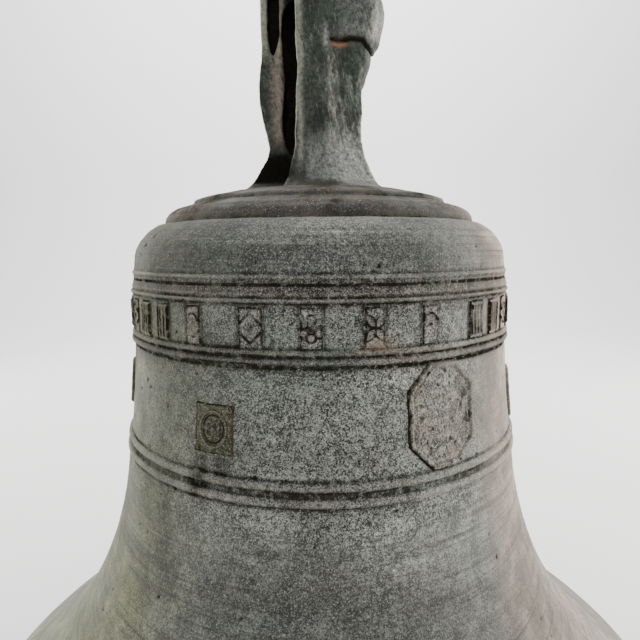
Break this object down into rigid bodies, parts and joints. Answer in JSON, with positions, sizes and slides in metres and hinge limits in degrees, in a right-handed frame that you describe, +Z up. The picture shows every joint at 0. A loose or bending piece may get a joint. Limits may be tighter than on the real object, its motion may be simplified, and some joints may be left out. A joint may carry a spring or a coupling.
{
  "type": "church bell",
  "caption": "Cast bronze church bell with a six-armed crown, tiled frieze, octagonal medallion and an iron clapper that swings from a leather baldric on a staple.",
  "frame": {"origin": "centre of the mouth, on the plane that the lip stands on", "axes": "+Z up along the bell's axis, -Y to the front with the square stamp and the medallion, +X to the right"},
  "size_m": [0.5499, 0.55, 0.593],
  "materials": {
    "weathered_bronze": "weathered grey-green cast bronze, matt, pitted",
    "crown_bronze": "dark cast bronze with green streaks, matt",
    "wrought_iron": "hammered wrought iron with brown rust",
    "forged_iron": "forged iron, worn bright on the ball",
    "strap_leather": "old oiled leather",
    "oak": "old unvarnished oak",
    "bush_bronze": "worn bearing bronze"
  },
  "bodies": {
    "bell": {"bell_shell": "weathered_bronze", "argent": "crown_bronze", "canon_front": "crown_bronze", "canon_front_right": "crown_bronze", "canon_back_right": "crown_bronze", "canon_back": "crown_bronze", "canon_back_left": "crown_bronze", "canon_front_left": "crown_bronze", "frieze_tiles": "weathered_bronze", "stamp_plaque": "weathered_bronze", "medallion": "weathered_bronze", "left_relief": "weathered_bronze", "right_relief": "weathered_bronze", "crown_staple": "wrought_iron"},
    "baldric": {"baldric_strap": "strap_leather", "busk_block": "oak", "garter_iron": "wrought_iron", "strap_rivets": "wrought_iron", "garter_rivets": "wrought_iron", "baldric_bolt": "wrought_iron", "bolt_washers": "wrought_iron", "forelock_wedge": "wrought_iron"},
    "clapper": {"clapper": "forged_iron", "eye_bush": "bush_bronze"}
  },
  "joints": [
    {"name": "baldric_swing", "type": "hinge", "parent": "bell", "child": "baldric", "pos_m": [0, 0, 0.352], "axis": [0, 1, 0], "range_deg": [-21, 21]},
    {"name": "clapper_swing", "type": "hinge", "parent": "baldric", "child": "clapper", "pos_m": [0, 0, 0.262], "axis": [0, 1, 0], "range_deg": [-6, 6]}
  ]
}
